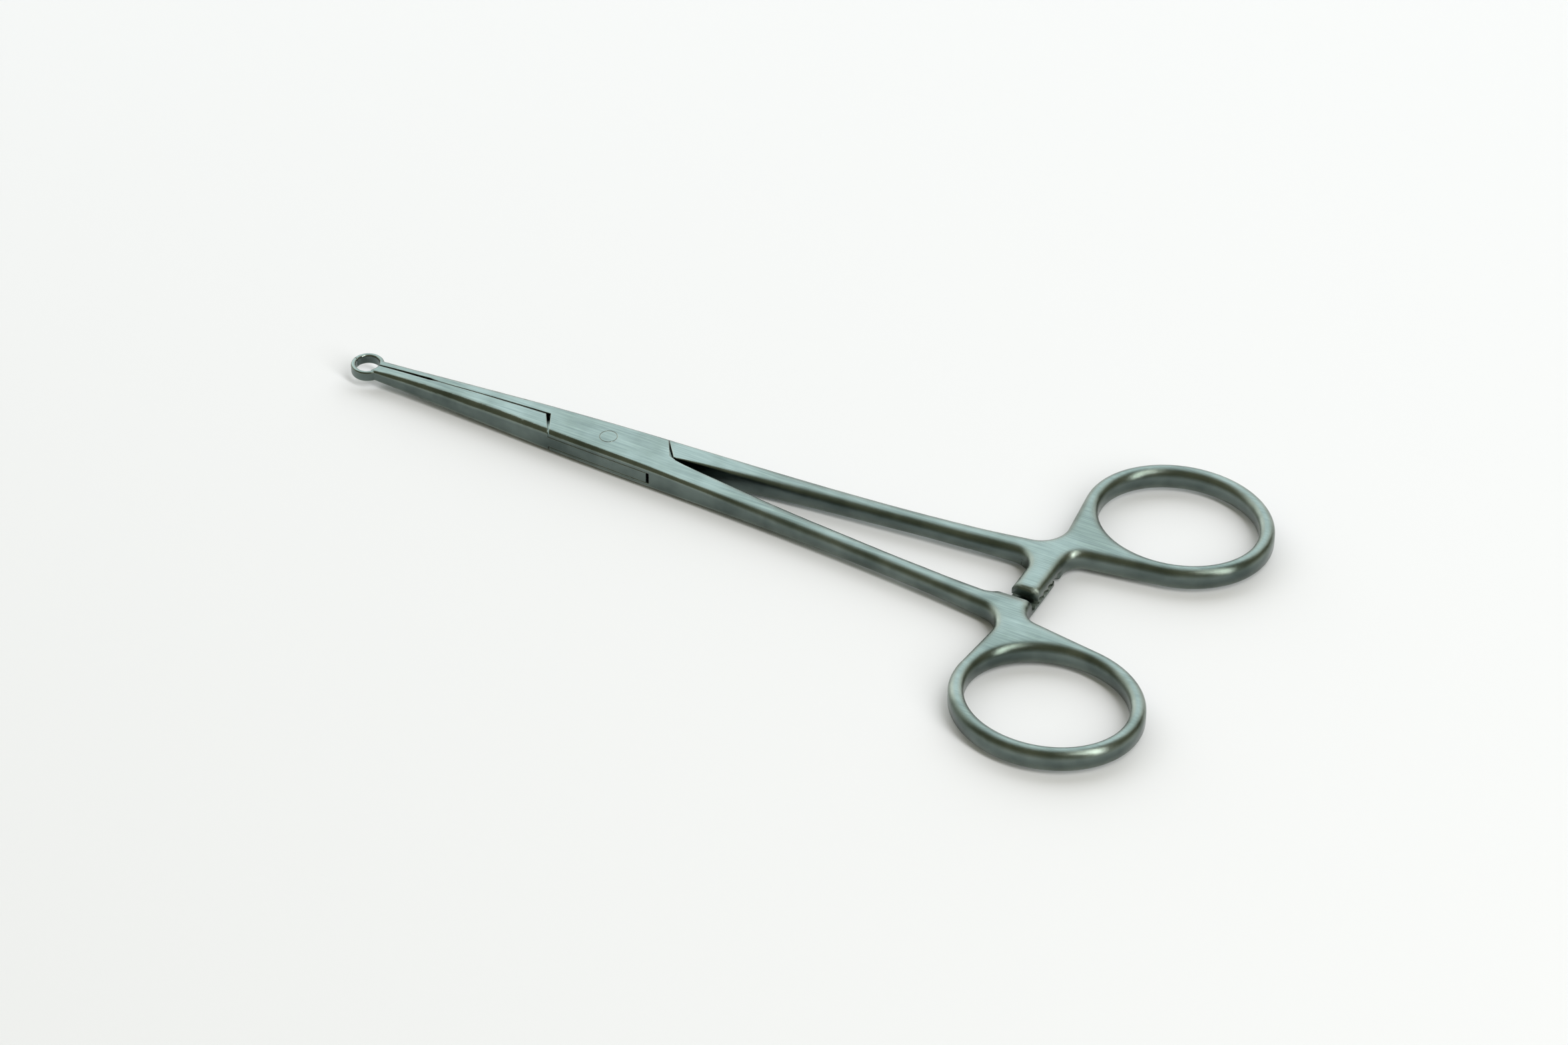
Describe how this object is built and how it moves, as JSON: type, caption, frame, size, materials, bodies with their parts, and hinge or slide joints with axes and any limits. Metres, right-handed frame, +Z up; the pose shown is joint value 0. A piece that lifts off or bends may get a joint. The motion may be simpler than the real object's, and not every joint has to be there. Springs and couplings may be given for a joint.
{
  "type": "vasectomy_ring_forceps",
  "caption": "Ring-tipped clamping forceps of the no-scalpel vasectomy pattern in satin stainless steel, with a box lock, a ratchet between the shanks and oval finger rings",
  "frame": {"origin": "On the resting plane, under the axis of the pivot pin", "axes": "+X runs from the lock to the finger rings, +Z is up, away from the table the instrument lies on, and +Y is the side of the tongue limb's finger ring"},
  "size_m": [0.1394, 0.0682, 0.0039],
  "materials": {
    "satin_steel": "satin"
  },
  "bodies": {
    "box": {"box_limb": "satin_steel", "pivot_pin": "satin_steel"},
    "tongue": {"tongue_limb": "satin_steel"}
  },
  "joints": [
    {"name": "lock_hinge", "type": "hinge", "parent": "box", "child": "tongue", "pos_m": [0, 0, 0.00195], "axis": [0, 0, 1], "range_deg": [0, 45]}
  ]
}
